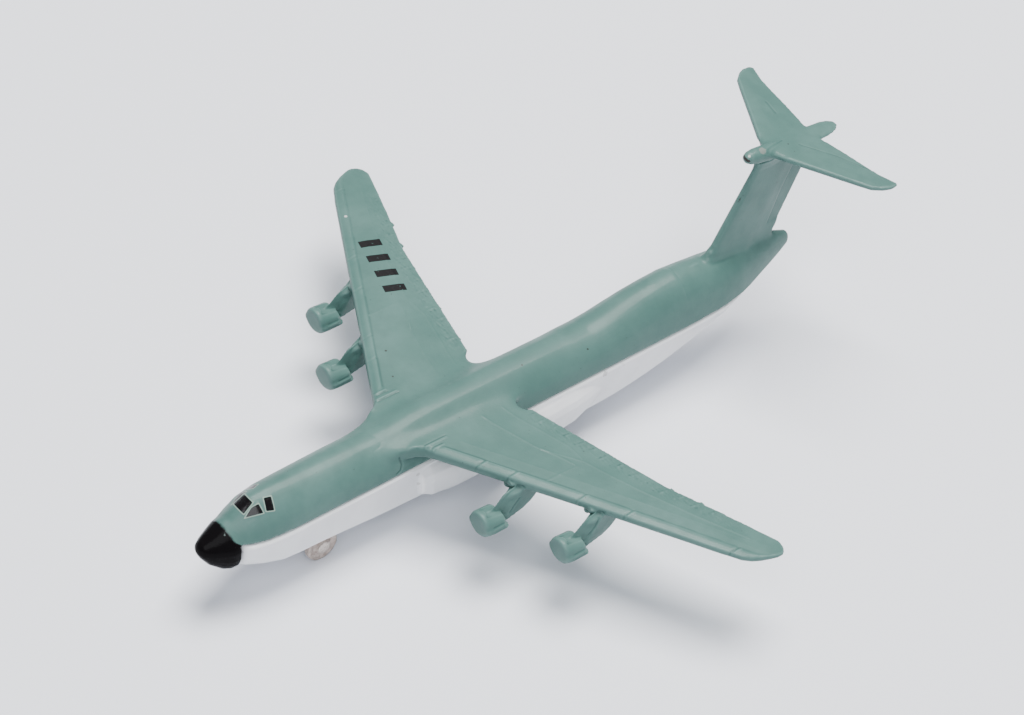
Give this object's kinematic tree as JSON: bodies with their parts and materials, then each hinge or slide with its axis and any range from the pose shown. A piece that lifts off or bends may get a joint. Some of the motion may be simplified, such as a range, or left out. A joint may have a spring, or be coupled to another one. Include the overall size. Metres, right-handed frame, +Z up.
{
  "type": "die-cast toy military transport plane",
  "caption": "Palm-size die-cast toy of a high-wing, T-tail jet transport that rolls on a nose wheelset and a main wheelset.",
  "frame": {"origin": "on the floor, below the middle of the toy's length and span", "axes": "+X to the nose, +Y to the port wing tip, +Z up"},
  "size_m": [0.1249, 0.1068, 0.039],
  "materials": {
    "green_paint": "semi-gloss sage green enamel on a zinc casting",
    "white_shell": "satin white",
    "bare_alloy": "dull bare cast metal",
    "steel_wire": "plain drawn wire"
  },
  "bodies": {
    "airframe": {"upper_casting": "green_paint", "tailplane": "green_paint", "lower_shell": "white_shell"},
    "nose_wheelset": {"nose_axle": "steel_wire", "nose_wheel_port": "bare_alloy", "nose_wheel_starboard": "bare_alloy"},
    "main_wheelset": {"main_axle": "steel_wire", "main_wheel_port": "bare_alloy", "main_wheel_starboard": "bare_alloy"}
  },
  "joints": [
    {"name": "nose_wheels_spin", "type": "hinge", "parent": "airframe", "child": "nose_wheelset", "pos_m": [0.0412, 0, 0.0028], "axis": [0, 1, 0], "continuous": true},
    {"name": "main_wheels_spin", "type": "hinge", "parent": "airframe", "child": "main_wheelset", "pos_m": [-0.002, 0, 0.0028], "axis": [0, 1, 0], "continuous": true}
  ]
}
